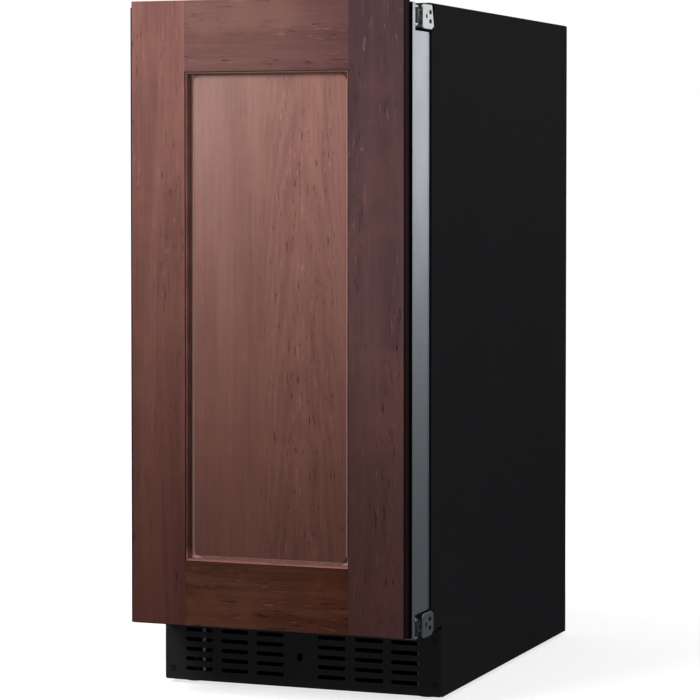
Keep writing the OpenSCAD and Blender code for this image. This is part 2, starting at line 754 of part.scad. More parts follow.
module rail_top()
    color("#6b4a42") from_front() difference() {
        box(field_x0, field_x1, 0, wood_t, field_z1, wood_top);
        box(field_x0 - 1, field_x1 + 1, panel_front - 0.1, panel_back + 0.1, field_z1 - 1, field_z1 + tongue + 1);
    }

module rail_bottom()
    color("#5c3a2a") from_front() difference() {
        box(field_x0, field_x1, 0, wood_t, wood_z, field_z0);
        box(field_x0 - 1, field_x1 + 1, panel_front - 0.1, panel_back + 0.1, field_z0 - tongue - 1, field_z0 + 1);
    }

module centre_panel()
    color("#8a655c") from_front() {
        box(field_x0 - tongue, field_x1 + tongue, panel_front, panel_back, field_z0 - tongue, field_z1 + tongue);
        back_along(field_front, panel_front)
            rounded(field_x0 + groove_w, field_x1 - groove_w, field_z0 + groove_w, field_z1 - groove_w, 12);
    }

module panel_fasteners()
    color("#333436") from_front()
        for (x = [-fastener_x, fastener_x], z = fastener_z) {
            rod_y(x, wood_t, door_y, z, 9);
            rod_y(x, wood_t - 10, door_y, z, 2.2);
        }

// ---------------------------------------------------------------- feet

module levelling_foot(x, y)
    color("#232425") from_front() {
        rod_z(x, y, 0, 4.5, 15);
        rod_z(x, y, 0, 38, stud_r);
    }

module levelling_foot_fl() levelling_foot(-foot_x, foot_front_y);
module levelling_foot_fr() levelling_foot(foot_x, foot_front_y);
module levelling_foot_rl() levelling_foot(-foot_x, foot_rear_y);
module levelling_foot_rr() levelling_foot(foot_x, foot_rear_y);

outer_shell();
rear_panel();
base_pan();
machine_bay_panel();
foam_insulation();
inner_liner();
front_frame();
toe_grille();
cabinet_screws();
hinge_plates();
compressor();
compressor_mounts();
compressor_terminal_box();
condenser_coil();
condenser_fan_shroud();
condenser_fan_motor();
condenser_fan();
filter_drier();
refrigerant_lines();
drip_tray();
water_valve();
water_inlet_fitting();
fill_tube();
power_inlet();
control_board_box();
evaporator_coil();
evaporator_cover();
evaporator_fan_motor();
evaporator_fan();
ice_mould();
stripper();
drive_housing();
drive_cover();
gear_motor();
motor_pinion();
ejector_shaft();
fill_cup();
shutoff_arm();
ice_bin();
ice_scoop();
control_housing();
light_lens();
rocker_switch();
temperature_knob();
door_frame();
door_foam();
door_liner();
door_gasket();
stile_left();
stile_right();
rail_top();
rail_bottom();
centre_panel();
panel_fasteners();
hinge_brackets();
hinge_arms();
levelling_foot_fl();
levelling_foot_fr();
levelling_foot_rl();
levelling_foot_rr();
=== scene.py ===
"""Looks of the undercounter ice maker: finishes, fine meshes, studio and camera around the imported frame."""
import json
import math

import bmesh
import bpy
import numpy as np
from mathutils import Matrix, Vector


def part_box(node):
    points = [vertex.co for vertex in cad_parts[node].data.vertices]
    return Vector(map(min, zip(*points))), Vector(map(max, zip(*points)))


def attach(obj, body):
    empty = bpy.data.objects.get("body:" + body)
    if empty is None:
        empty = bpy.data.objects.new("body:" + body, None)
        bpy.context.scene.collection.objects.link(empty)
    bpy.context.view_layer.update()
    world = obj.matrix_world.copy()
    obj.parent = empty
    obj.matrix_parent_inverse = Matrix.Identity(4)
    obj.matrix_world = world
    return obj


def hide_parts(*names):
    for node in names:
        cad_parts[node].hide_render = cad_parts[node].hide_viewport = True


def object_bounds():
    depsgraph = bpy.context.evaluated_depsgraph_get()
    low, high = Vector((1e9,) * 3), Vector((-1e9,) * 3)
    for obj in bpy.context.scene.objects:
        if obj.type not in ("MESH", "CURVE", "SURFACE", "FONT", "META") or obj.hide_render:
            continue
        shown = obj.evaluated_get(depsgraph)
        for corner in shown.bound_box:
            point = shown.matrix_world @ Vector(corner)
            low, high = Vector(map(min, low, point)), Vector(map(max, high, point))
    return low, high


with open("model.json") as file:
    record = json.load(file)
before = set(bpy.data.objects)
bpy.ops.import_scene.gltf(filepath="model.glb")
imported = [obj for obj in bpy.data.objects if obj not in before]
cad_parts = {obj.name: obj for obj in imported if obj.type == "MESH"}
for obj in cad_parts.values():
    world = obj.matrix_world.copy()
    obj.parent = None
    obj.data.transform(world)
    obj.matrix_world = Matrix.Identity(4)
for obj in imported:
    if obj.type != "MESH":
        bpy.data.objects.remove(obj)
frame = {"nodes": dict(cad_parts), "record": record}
CAD_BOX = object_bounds()
MM = 0.001
QUARTER = math.pi / 2
HALF_DEPTH = round(-CAD_BOX[0][1] / MM, 3)  # from the wooden panel's front to the middle, in millimetres
WELD = 2e-6  # points nearer than this, in metres, become one
FLAT = 0.01  # faces that differ by less than this, in radians, become one


# ---------------------------------------------------------------- shader maths

class Value:
    """A socket of a material's tree; ordinary arithmetic on it adds the Math nodes."""

    def __init__(self, paint, socket):
        self.paint = paint
        self.socket = socket

    def maths(self, operation, *terms):
        return self.paint.node("ShaderNodeMath", {"operation": operation}, dict(enumerate(terms)))

    def __add__(self, other):
        return self.maths("ADD", self, other)

    def __sub__(self, other):
        return self.maths("SUBTRACT", self, other)

    def __rsub__(self, other):
        return self.maths("SUBTRACT", other, self)

    def __mul__(self, other):
        return self.maths("MULTIPLY", self, other)

    def __truediv__(self, other):
        return self.maths("DIVIDE", self, other)

    __radd__ = __add__
    __rmul__ = __mul__

    def sine(self):
        return self.maths("SINE", self)

    def between(self, low, high):
        """0 below low, 1 above high, and a smooth step from one to the other."""
        settings = {"interpolation_type": "SMOOTHSTEP"}
        inputs = {"Value": self, "From Min": low, "From Max": high}
        return self.paint.node("ShaderNodeMapRange", settings, inputs)


class Paint:
    """One finish: a material, its Principled shader, and the calls that fill them."""

    def __init__(self, name, colour=(0.5, 0.5, 0.5), **constants):
        self.material = bpy.data.materials.new(name)
        self.material.use_nodes = True
        self.tree = self.material.node_tree
        self.shader = self.tree.nodes["Principled BSDF"]
        self.set("Base Color", (*colour, 1.0))
        for key, value in constants.items():
            self.set(key.replace("_", " ").title().replace("Ior", "IOR"), value)

    def set(self, socket, value):
        self.feed(self.shader.inputs[socket], value)
        return self

    def feed(self, socket, value):
        if isinstance(value, Value):
            self.tree.links.new(value.socket, socket)
        else:
            socket.default_value = value

    def node(self, kind, settings=None, inputs=None, output=0):
        """Any node: its settings first, then the values or links of its inputs."""
        made = self.tree.nodes.new(kind)
        for key, value in (settings or {}).items():
            setattr(made, key, value)
        for key, value in (inputs or {}).items():
            self.feed(made.inputs[key], value)
        return Value(self, made.outputs[output])

    def place(self, scale=(1, 1, 1), shift=(0, 0, 0)):
        """Object coordinates in metres, shifted and scaled."""
        where = self.node("ShaderNodeTexCoord", output=3)
        return self.node("ShaderNodeMapping", {}, {"Vector": where, "Location": shift, "Scale": scale})

    def axis(self, index, where=None):
        return self.node("ShaderNodeSeparateXYZ", {}, {0: where or self.place()}, output=index)

    def noise(self, where, scale, detail=2.0, rough=0.5, distortion=0.0):
        inputs = {"Vector": where, "Scale": scale, "Detail": detail, "Roughness": rough,
                  "Distortion": distortion}
        return self.node("ShaderNodeTexNoise", {}, inputs)

    def cells(self, scale, output=0):
        """Irregular cells: output 0 is the distance from each one's middle, output 1 a colour for each."""
        inputs = {"Vector": self.place(), "Scale": scale}
        return self.node("ShaderNodeTexVoronoi", {"feature": "F1"}, inputs, output)

    def mix(self, factor, first, second, blend="MIX"):
        """Colour first turning into second as factor goes from 0 to 1."""
        first = first if isinstance(first, Value) else (*first, 1.0)
        second = second if isinstance(second, Value) else (*second, 1.0)
        settings = {"data_type": "RGBA", "blend_type": blend}
        return self.node("ShaderNodeMix", settings, {0: factor, 6: first, 7: second}, output=2)

    def grey(self, value):
        return self.node("ShaderNodeCombineColor", {}, {0: value, 1: value, 2: value})

    def bump(self, height, depth, strength=1.0):
        """Normal of a surface raised by height, where 1 stands for depth metres."""
        normal = self.node("ShaderNodeBump", {}, {"Strength": strength, "Distance": depth, "Height": height})
        return self.set("Normal", normal)


# ---------------------------------------------------------------- finishes

def drawn_out(along, squeeze):
    """Scales that stretch a pattern along the grain, which runs along x or z."""
    return (1.0, 1.0, squeeze) if along == "z" else (squeeze, 1.0, 1.0)


def wood(name, pale, deep, accent, along="z", seed=0.0, band=None, fleck=0.5, mottle=0.35, painted_light=None,
         gloss=0.12, streak=0.7):
    """Satin-lacquered stained wood: broad bands and fine fibres drawn out along the grain, short dark and
    light flecks, a cloudy mottle, and painted shade that darkens it towards the floor. band is the middle
    and half width of a flat-sawn board's figure, with the nested arches of its growth rings. The argument
    that holds a tint, an axis and two places is painted light: between those places the board takes that
    tint on, painted shade where the tint is below 1 and a painted highlight where it is above 1. The face
    beyond 184.3 mm across is painted near-black as shade."""
    paint = Paint(name, coat_roughness=0.22, specular_ior_level=0.25)
    short = drawn_out(along, 0.13)
    long = paint.place(drawn_out(along, 0.06), (seed, seed * 0.7, seed * 1.3))
    longest = paint.place(drawn_out(along, 0.03), (seed * 2.0, seed, seed * 0.3))
    broad = paint.noise(long, 26.0, 3.0, 0.55, 0.5)
    fibre = paint.noise(longest, 260.0, 4.0, 0.65, 0.3)
    dashes = paint.noise(paint.place(short, (seed, 0.0, seed)), 330.0, 3.0, 0.6, 0.25)
    cloud = paint.noise(paint.place((1.0, 1.0, 1.0), (seed, seed, -seed)), 13.0, 4.0, 0.62)
    patches = paint.noise(paint.place(short, (-seed, seed, seed)), 30.0, 3.0, 0.6).between(0.38, 0.58)
    shade = broad.between(0.34, 0.68) * streak + fibre.between(0.3, 0.7) * 0.3 + (0.7 - streak) * 0.5
    where = patches
    if band:
        middle, half = band
        curving, climb, waver, closeness = 75.0, 0.6, 0.22, 120.0
        across = paint.axis(0, paint.place(shift=(-middle, 0.0, 0.0)))
        spread = (across * across / half ** 2).between(1.6, 0.2)
        wobble = paint.noise(paint.place((1.0, 1.0, 0.3), (seed, 0, 0)), 12.0, 3.0, 0.55)
        arch = (across * across * curving + paint.axis(2) * climb + wobble * waver) * closeness
        rings = (arch.sine() * 0.5 + 0.5) * spread
        shade = shade + rings * 0.28 - spread * 0.1
        where = spread * 0.75 + patches * 0.25
    colour = paint.mix(shade, deep, pale)
    colour = paint.mix(cloud.between(0.45, 0.72) * mottle, colour, accent)
    # painted light: between two places along one axis the board takes the given tint on; below 1 it is
    # painted shade, above 1 a painted highlight
    if painted_light:
        tint, axis, start, stop = painted_light
        colour = paint.mix(paint.axis(axis).between(start, stop), colour, tint, "MULTIPLY")
    dark = dashes.between(0.6, 0.7) * where
    light = dashes.between(0.4, 0.3) * where
    colour = paint.mix(dark * fleck, colour, tuple(0.3 * c for c in deep))
    colour = paint.mix(light * fleck * 0.55, colour, tuple(1.5 * c + 0.01 for c in pale))
    # painted shade: the colour is multiplied towards a dark tint from 0.84 m down to 0.1 m, so every board is
    # darker towards the floor
    painted_shade_top, painted_shade_foot, painted_shade_tint = 0.84, 0.1, (0.33, 0.26, 0.24)
    darkening = paint.axis(2).between(painted_shade_top, painted_shade_foot) * 0.95
    colour = paint.mix(darkening, colour, painted_shade_tint, "MULTIPLY")
    # painted shade: the right stile's outer end face, 184.3 mm to 186.2 mm across, is made near-black, with
    # its coat and most of its reflection taken away
    end_start, end_stop, end_shade_tint = 184.3 * MM, 186.2 * MM, (0.034, 0.011, 0.014)
    end = paint.axis(0).between(end_start, end_stop)
    paint.colour = paint.mix(end * 0.95, colour, end_shade_tint)
    paint.set("Base Color", paint.colour)
    paint.set("Coat Weight", gloss - end * gloss)
    paint.set("Metallic", end * 0.97)
    paint.set("Roughness", 0.42 + fibre * 0.1 + dark * 0.1 + end * 0.3)
    paint.bump(fibre * 0.6 - dark, 0.12 * MM, 0.5)
    return paint


def paint_rim_highlight(paint, x0, x1, z0, z1):
    """Painted highlight along a raised field's rounded edge: paler within 1.7 mm of its outline."""
    side = paint.axis(0)
    up = paint.axis(2)
    far, near = 1.7 * MM, 0.5 * MM
    rim = (side - x0).between(far, near) + (x1 - side).between(far, near)
    rim = rim + (up - z0).between(far, near) + (z1 - up).between(far, near)
    rim_highlight_colour = (0.4, 0.25, 0.23)
    paint.set("Base Color", paint.mix(rim * 0.55, paint.colour, rim_highlight_colour))


def coated(name, colour, roughness=0.5, grain=900.0, depth=0.02, specular=0.3, metallic=0.0):
    """Powder-coated or painted steel: a fine orange-peel skin, uneven in sheen, with faint handling marks."""
    paint = Paint(name, colour, metallic=metallic, specular_ior_level=specular)
    peel = paint.noise(paint.place(), grain, 2.0, 0.5)
    smear = paint.noise(paint.place(), 7.0, 4.0, 0.6)
    handled = tuple(1.25 * c + 0.001 for c in colour)
    paint.set("Base Color", paint.mix(smear.between(0.3, 0.75) * 0.3, colour, handled))
    paint.set("Roughness", roughness - 0.05 + smear * 0.12 + peel * 0.03)
    return paint.bump(peel, depth * MM, 0.6)


def brushed(name, colour, roughness=0.3, along=(1.0, 1.0, 0.01), depth=0.008, spots=0.0):
    """Bare or satin metal: fine brushed lines and a cloudy sheen. spots is the zinc spangle's strength."""
    paint = Paint(name, colour, metallic=1.0)
    lines = paint.noise(paint.place(along), 1400.0, 2.0, 0.6)
    cloud = paint.noise(paint.place(), 16.0, 3.0, 0.55)
    darker = tuple(0.82 * c for c in colour)
    paint.colour = paint.mix(lines * 0.45 + cloud.between(0.3, 0.7) * 0.3, colour, darker)
    if spots:
        spangle = paint.mix(0.6, paint.cells(90.0, 1), colour)
        paint.colour = paint.mix(spots, paint.colour, spangle, "MULTIPLY")
    paint.set("Base Color", paint.colour)
    paint.set("Roughness", roughness + lines * 0.1 + cloud * 0.08)
    return paint.bump(lines, depth * MM, 0.5)


def shade_door_front(paint, y, half):
    """Painted shade on the door's hidden front face, inside the folded side skins: it is made near-black."""
    front = paint.axis(1).between(y + 0.8 * MM, y + 0.3 * MM)
    inner = paint.axis(0).between(half - 0.4 * MM, half - 1.2 * MM)
    painted_shade_colour = (0.02, 0.02, 0.021)
    paint.set("Base Color", paint.mix(front * inner * 0.97, paint.colour, painted_shade_colour))


def moulded(name, colour, roughness=0.4, grain=1600.0, depth=0.012, specular=0.5, coat=0.0):
    """Injection-moulded plastic: a fine spark-eroded texture and slow changes of sheen."""
    paint = Paint(name, colour, specular_ior_level=specular, coat_weight=coat, coat_roughness=0.15)
    skin = paint.noise(paint.place(), grain, 2.0, 0.5)
    flow = paint.noise(paint.place(), 12.0, 3.0, 0.5)
    darker = tuple(0.9 * c for c in colour)
    paint.set("Base Color", paint.mix(flow.between(0.3, 0.8) * 0.35, colour, darker))
    paint.set("Roughness", roughness + skin * 0.06 + flow * 0.06)
    return paint.bump(skin, depth * MM, 0.5)


def rubbery(name, colour=(0.018, 0.018, 0.019)):
    """Matt rubber with a dusty bloom."""
    paint = Paint(name, colour, specular_ior_level=0.25)
    bloom = paint.noise(paint.place(), 40.0, 5.0, 0.65)
    dust = (0.06, 0.06, 0.062)
    paint.set("Base Color", paint.mix(bloom.between(0.45, 0.8) * 0.4, colour, dust))
    paint.set("Roughness", 0.62 + bloom * 0.2)
    return paint.bump(bloom, 0.05 * MM, 0.4)


def foamed(name, colour=(0.72, 0.6, 0.33)):
    """Cut rigid foam: open cells and a cloudy yellowing."""
    paint = Paint(name, colour, roughness=0.9, specular_ior_level=0.2)
    pores = paint.cells(420.0)
    darkening = paint.noise(paint.place(), 20.0, 3.0)
    darker = tuple(0.7 * c for c in colour)
    paint.set("Base Color", paint.mix(pores.between(0.0, 0.6) * 0.6 + darkening * 0.3, colour, darker))
    return paint.bump(pores, 0.4 * MM, 0.8)


def copper(name, colour=(0.8, 0.4, 0.24)):
    """Drawn copper with tarnish that gathers in clouds."""
    paint = Paint(name, colour, metallic=1.0)
    tarnish = paint.noise(paint.place(), 30.0, 4.0, 0.6)
    browned = (0.3, 0.13, 0.07)
    paint.set("Base Color", paint.mix(tarnish.between(0.4, 0.75), colour, browned))
    paint.set("Roughness", 0.24 + tarnish * 0.25)
    return paint


PAINTS = {
    "wood_left_stile": wood(
        "left_stile_wood", (0.168, 0.074, 0.062), (0.096, 0.038, 0.033), (0.175, 0.082, 0.058), "z", 1.7,
        fleck=0.75, streak=0.5),
    # painted shade: the right stile darkens with a bluish tint towards its top, from 0.3 m up to 0.85 m
    "wood_right_stile": wood(
        "right_stile_wood", (0.118, 0.064, 0.06), (0.07, 0.035, 0.034), (0.15, 0.064, 0.058), "z", 4.1,
        fleck=0.8, mottle=0.55, painted_light=((0.48, 0.48, 0.53), 2, 0.3, 0.85), streak=0.5),
    # painted shade: the top rail darkens towards its right end, from x -0.01 m to 0.12 m
    "wood_top_rail": wood(
        "top_rail_wood", (0.125, 0.058, 0.05), (0.07, 0.03, 0.028), (0.145, 0.067, 0.05), "x", 2.9,
        fleck=1.0, mottle=0.45, painted_light=((0.7, 0.66, 0.7), 0, -0.01, 0.12), streak=0.5),
    # painted shade: the bottom rail darkens towards its right end, from x -0.06 m to 0.12 m
    "wood_bottom_rail": wood(
        "bottom_rail_wood", (0.19, 0.085, 0.056), (0.062, 0.025, 0.018), (0.21, 0.09, 0.042), "x", 7.3,
        fleck=1.0, mottle=0.6, painted_light=((0.75, 0.64, 0.55), 0, -0.06, 0.12), streak=0.55),
    "wood_panel": wood(
        "centre_panel_wood", (0.215, 0.102, 0.082), (0.135, 0.06, 0.048), (0.22, 0.11, 0.078), "z", 5.6,
        band=(0.05, 0.05), fleck=1.0, gloss=1.0, streak=0.4),
    "painted_black_steel": coated("cabinet_powder_coat", (0.0155, 0.0155, 0.0167), 0.6, specular=0.005),
    "grille_black": coated("grille_paint", (0.013, 0.013, 0.014), 0.55, specular=0.1),
    "black_plastic": moulded("black_moulding", (0.012, 0.012, 0.013), 0.5, specular=0.3),
    "galvanised_steel": brushed("galvanised_sheet", (0.5, 0.51, 0.52), 0.42, (1.0, 1.0, 1.0), spots=0.35),
    "foam": foamed("insulation_foam"),
    "liner_white": moulded("white_liner_plastic", (0.8, 0.81, 0.82), 0.28, 700.0, 0.02),
    "hinge_steel": brushed("zinc_plated_steel", (0.62, 0.63, 0.64), 0.3, (1.0, 0.02, 1.0)),
    "black_screws": coated("blackened_screws", (0.02, 0.02, 0.021), 0.35, specular=0.5, metallic=0.6),
    "compressor_black": coated("compressor_enamel", (0.012, 0.012, 0.013), 0.28, 500.0, 0.05, 0.5),
    "rubber_black": rubbery("black_rubber"),
    "copper": copper("tarnished_copper"),
    "motor_steel": brushed("motor_can_steel", (0.42, 0.43, 0.44), 0.35, (1.0, 0.02, 1.0)),
    "fan_plastic": moulded("fan_plastic", (0.66, 0.66, 0.64), 0.42),
    "valve_plastic": moulded("valve_plastic", (0.74, 0.72, 0.64), 0.45),
    "brass_fitting": brushed("turned_brass", (0.78, 0.58, 0.27), 0.25, (0.02, 1.0, 0.02)),
    "tube_white": moulded("white_tube", (0.78, 0.79, 0.78), 0.35),
    "aluminium_fins": brushed("fin_aluminium", (0.78, 0.79, 0.8), 0.3, (0.02, 1.0, 1.0)),
    "mould_aluminium": coated("mould_coating", (0.24, 0.25, 0.26), 0.4, 500.0, 0.04, 0.5, 0.7),
    "gear_plastic": moulded("gear_nylon", (0.75, 0.5, 0.16), 0.4),
    "bail_wire": brushed("plated_wire", (0.72, 0.73, 0.74), 0.2, (1.0, 0.05, 1.0)),
    "bin_plastic": moulded("bin_plastic", (0.74, 0.8, 0.84), 0.25, coat=0.3),
    "scoop_plastic": moulded("scoop_plastic", (0.3, 0.36, 0.4), 0.3, coat=0.3),
    "lamp_lens": moulded("frosted_lens", (0.85, 0.82, 0.7), 0.5),
    "switch_black": moulded("switch_plastic", (0.014, 0.014, 0.015), 0.3, coat=0.2),
    "silver_door": brushed("satin_silver_sheet", (0.59, 0.612, 0.65), 0.36, (1.0, 1.0, 0.004)),
    "gasket_rubber": rubbery("gasket_rubber", (0.01, 0.01, 0.011)),
}
# painted highlight: the bead turns about three times paler and bluer below 0.186 m, on its lower ledge
BEAD_WOOD = wood("bead_wood", (0.2, 0.095, 0.08), (0.12, 0.052, 0.045), (0.2, 0.1, 0.08), "x", 9.2,
                 painted_light=((2.8, 2.9, 3.2), 2, 0.2, 0.186))
# painted shade: near-black with no reflection, for the wells round the hinge screws and slots
WELL_PAINTED_SHADE = coated("well_painted_shade", (0.004, 0.004, 0.004), 0.85, specular=0.0)
# painted shade: the hinge arms get a dark grey steel in place of the deep shade they stand in
ARM_SHADE_STEEL = brushed("arm_steel_painted_shade", (0.16, 0.16, 0.17), 0.45, (1.0, 0.02, 1.0))
SLOT_OF = {part["node"]: part["material_slot"] for part in frame["record"]["subparts"]}
BODY_OF = {node: body for body, nodes in frame["record"]["behaviour"]["bodies"].items() for node in nodes}


# ---------------------------------------------------------------- surfaces

def corners(node):
    """Lowest and highest corner of a CAD node, as arrays."""
    low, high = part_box(node)
    return np.array(low), np.array(high)


def outline(x0, x1, z0, z1, r, steps=6):
    """Rounded rectangle: four quarter circles of radius r about the corners of a rectangle shrunk by r."""
    turn = np.linspace(0.0, QUARTER, steps + 1)
    centres = ((x1 - r, z1 - r), (x0 + r, z1 - r), (x0 + r, z0 + r), (x1 - r, z0 + r))
    arcs = [
        np.column_stack((cx + r * np.cos(turn + k * QUARTER), cz + r * np.sin(turn + k * QUARTER)))
        for k, (cx, cz) in enumerate(centres)
    ]
    return np.vstack(arcs)


def loft(rings, closed=False):
    """Quads between neighbouring rings of points; open stacks of rings end in a flat face at each side."""
    rings = np.asarray(rings, float)
    count, around = rings.shape[:2]
    index = np.arange(count * around).reshape(count, around)
    here = index if closed else index[:-1]
    there = np.roll(index, -1, 0) if closed else index[1:]
    quads = np.stack((here, np.roll(here, -1, 1), np.roll(there, -1, 1), there), -1).reshape(-1, 4)
    ends = [] if closed else [index[0][::-1].tolist(), index[-1].tolist()]
    return rings.reshape(-1, 3), quads.tolist() + ends


def stack_y(outlines, depths):
    """Outlines in (x, z), each at its own depth y, as the rings of a loft."""
    return loft([np.column_stack((o[:, 0], np.full(len(o), y), o[:, 1])) for o, y in zip(outlines, depths)])


def extrude(shape, axis, start, end):
    """A flat outline carried from start to end along axis x, y or z. Its two columns are the other axes."""
    shape = np.asarray(shape, float)
    rings = [np.insert(shape, "xyz".index(axis), level, axis=1) for level in (start, end)]
    return loft(rings)


def lathe(profile, centre, axis="z", sides=64, ribs=0, depth=0.0):
    """A profile of (radius, height) points turned about an axis through centre. With ribs, its widest part is
    fluted: the radius there swings by depth that many times a turn."""
    profile = np.asarray(profile, float)
    turn = np.linspace(0.0, 2 * math.pi, sides, endpoint=False)
    wide = profile[:, :1] > 0.9 * profile[:, 0].max()
    radius = profile[:, :1] - wide * depth * (0.5 + 0.5 * np.cos(ribs * turn))
    across = radius * np.cos(turn)
    along = radius * np.sin(turn)
    height = np.repeat(profile[:, 1:], sides, axis=1)
    order = {"z": (across, along, height), "y": (across, height, along), "x": (height, across, along)}[axis]
    return loft(np.stack(order, -1) + np.asarray(centre))


def rounded_path(points, radius, steps=8):
    """A line of straight runs whose corners are curves: at each corner a parabola leaves one run and meets
    the next, radius away from the corner on both, or just under half of a run that is shorter."""
    points = np.asarray(points, float)
    path = [points[:1]]
    share = np.linspace(0.0, 1.0, steps + 1)[:, None]
    most = 0.49
    for before, corner, after in zip(points[:-2], points[1:-1], points[2:]):
        back = before - corner
        ahead = after - corner
        reach = min(radius, most * np.linalg.norm(back), most * np.linalg.norm(ahead))
        first = corner + back / np.linalg.norm(back) * reach
        last = corner + ahead / np.linalg.norm(ahead) * reach
        path.append((1 - share) ** 2 * first + 2 * share * (1 - share) * corner + share ** 2 * last)
    path.append(points[-1:])
    return np.vstack(path)


def tube(path, radius, sides=14):
    """Circles of the given radius, square to a path. Each circle's first direction is the last one's, less
    its part along the path, so the tube doesn't twist."""
    path = np.asarray(path, float)
    heading = np.gradient(path, axis=0)
    heading /= np.linalg.norm(heading, axis=1, keepdims=True)
    slanting = (0.31, 0.52, 0.79)
    side = np.cross(heading[0], slanting)
    sideways = []
    for direction in heading:
        side = side - direction * np.dot(side, direction)
        side = side / np.linalg.norm(side)
        sideways.append(side)
    first = np.array(sideways)
    second = np.cross(heading, first)
    turn = np.linspace(0.0, 2 * math.pi, sides, endpoint=False)
    circle = first[:, None] * np.cos(turn)[None, :, None] + second[:, None] * np.sin(turn)[None, :, None]
    return loft(path[:, None] + radius * circle)


def ring_sweep(profile, x0, x1, z0, z1, r, steps=8):
    """A closed profile of (inward, y) points carried round a rounded rectangle: each point runs along the
    rectangle shrunk by its inward distance."""
    sharpest = 0.02 * MM
    tracks = [
        np.insert(outline(x0 + d, x1 - d, z0 + d, z1 - d, max(r - d, sharpest), steps), 1, y, axis=1)
        for d, y in profile
    ]
    return loft(tracks, closed=True)


def blade(centre, inner, outer, chord, pitch, thickness, start, sections=9):
    """A fan blade about axis y: lens-shaped sections along the radius that widen from 0.62 of the chord to
    the whole of it, turn from the root's pitch to 0.65 of it, and sweep back by the square of the way out."""
    root, widening, rounding = 0.62, 0.5, 0.12
    thinning, camber, flattening, sweep = 0.5, 0.1, 0.35, 0.18
    share = np.linspace(0.0, 1.0, sections)[:, None]
    turn = np.linspace(0.0, 2 * math.pi, 20, endpoint=False)[None, :]
    radius = inner + (outer - inner) * share
    width = chord * (root + widening * share - rounding * share ** 3)
    lift = thickness * (1.0 - thinning * share)
    along = width * np.cos(turn)
    proud = lift * np.sin(turn) + camber * width * np.sin(turn + QUARTER) ** 2
    tilt = pitch * (1.0 - flattening * share)
    depth = along * np.sin(tilt) + proud * np.cos(tilt)
    around = along * np.cos(tilt) - proud * np.sin(tilt)
    angle = start + around / radius + sweep * share ** 2
    rings = np.stack((radius * np.cos(angle), depth, radius * np.sin(angle)), -1)
    return loft(rings + np.asarray(centre))


def box_shell(low, high):
    """A plain block between two corners, to be rounded by its piece's edge."""
    (x0, y0, z0), (x1, y1, z1) = low, high
    return extrude([(x0, y0), (x1, y0), (x1, y1), (x0, y1)], "z", z0, z1)


# ---------------------------------------------------------------- pieces

def piece(name, shells, body, slot, stands_for=(), edge=0.0, segments=3, paint=None, crease=35.0,
          flatten=False, weigh=None, clamp=False):
    """One object from closed shells, riding on a body, in place of the CAD nodes it stands for. A Bevel of
    width edge rounds it, and weigh gives each edge's share of that width from its middle and direction."""
    verts = np.vstack([v for v, _ in shells])
    offsets = np.cumsum([0] + [len(v) for v, _ in shells[:-1]])
    faces = [[i + start for i in face] for (_, fs), start in zip(shells, offsets) for face in fs]
    mesh = bpy.data.meshes.new(name)
    mesh.from_pydata(verts.tolist(), [], faces)
    work = bmesh.new()
    work.from_mesh(mesh)
    bmesh.ops.remove_doubles(work, verts=work.verts, dist=WELD)
    if flatten:
        bmesh.ops.dissolve_limit(work, angle_limit=FLAT, verts=work.verts, edges=work.edges)
    bmesh.ops.recalc_face_normals(work, faces=work.faces)
    if weigh:
        layer = work.edges.layers.float.new("bevel_weight_edge")
        for line in work.edges:
            ends = [np.array(v.co) for v in line.verts]
            line[layer] = weigh((ends[0] + ends[1]) / 2, ends[1] - ends[0])
    work.to_mesh(mesh)
    work.free()
    mesh.shade_smooth()
    mesh.set_sharp_from_angle(angle=math.radians(crease))
    made = bpy.data.objects.new(name, mesh)
    bpy.context.scene.collection.objects.link(made)
    mesh.materials.append((paint or PAINTS[slot]).material)
    if edge:
        bevel = made.modifiers.new("rounded_edges", "BEVEL")
        bevel.width = edge
        bevel.segments = segments
        bevel.limit_method = "WEIGHT" if weigh else "ANGLE"
        bevel.angle_limit = math.radians(crease)
        bevel.use_clamp_overlap = clamp
        bevel.harden_normals = True
    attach(made, body)
    if stands_for:
        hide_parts(*stands_for)
    return made


def softened(node, edge=0.4 * MM, segments=2, weigh=None, clamp=False):
    """A copy of a CAD node whose triangles are merged back into flat faces and whose edges are rounded."""
    mesh = frame["nodes"][node].data
    verts = np.zeros(len(mesh.vertices) * 3)
    mesh.vertices.foreach_get("co", verts)
    faces = [list(face.vertices) for face in mesh.polygons]
    shells = [(verts.reshape(-1, 3), faces)]
    return piece(node + "_finished", shells, BODY_OF[node], SLOT_OF[node], (node,), edge, segments,
                 flatten=True, weigh=weigh, clamp=clamp)


def dress(node):
    """A CAD node that stays takes its detailed finish."""
    for place in frame["nodes"][node].material_slots:
        place.material = PAINTS[SLOT_OF[node]].material


# ---------------------------------------------------------------- wooden panel

def opening():
    """Left, right, lower and upper edge of the wooden frame's opening."""
    return (corners("stile_left")[1][0], corners("stile_right")[0][0],
            corners("rail_bottom")[1][2], corners("rail_top")[0][2])


